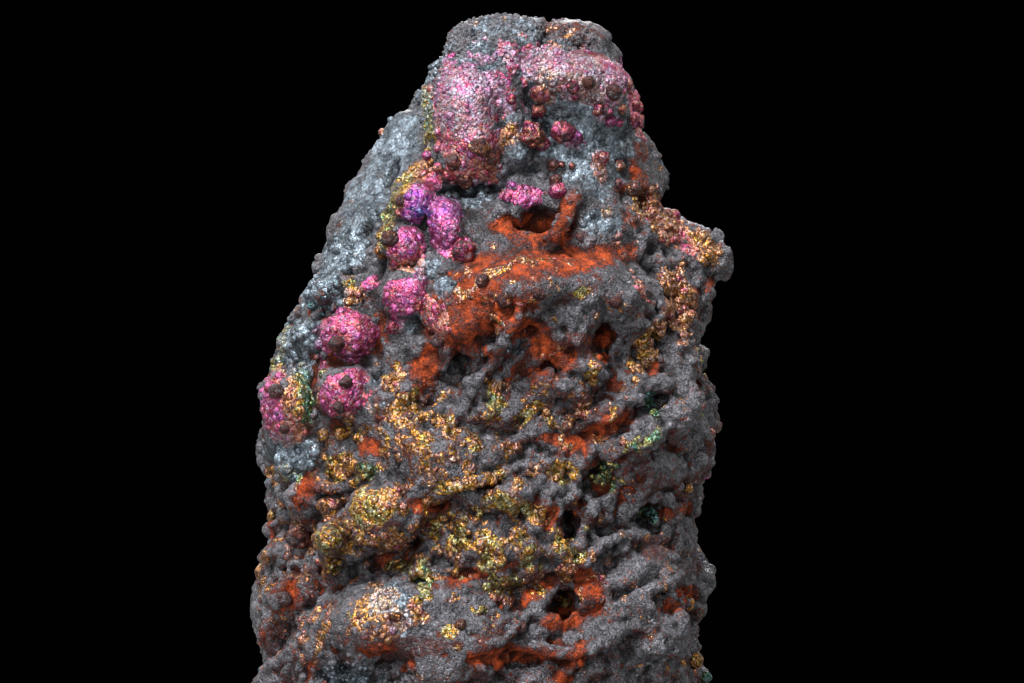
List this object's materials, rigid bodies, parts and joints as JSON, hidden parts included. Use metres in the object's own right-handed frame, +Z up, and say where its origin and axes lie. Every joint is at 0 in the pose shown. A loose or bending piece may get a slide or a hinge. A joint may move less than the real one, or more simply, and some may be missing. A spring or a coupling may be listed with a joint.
{
  "type": "goethite specimen",
  "caption": "Tooth-shaped botryoidal goethite specimen with folds, knobs and pits, iridescent on its front, standing on a flat cut base.",
  "frame": {"origin": "middle of the specimen's box, on the flat cut base", "axes": "+Z up to the tip, +X to the right, -Y to the front with the coloured crust"},
  "size_m": [0.0582, 0.0456, 0.0936],
  "materials": {
    "goethite": "dark grey metallic-lustred goethite, matte where grainy, with magenta, violet, gold and green iridescent crusts and orange ochre staining"
  },
  "bodies": {
    "root": {"goethite_specimen": "goethite"}
  },
  "joints": []
}
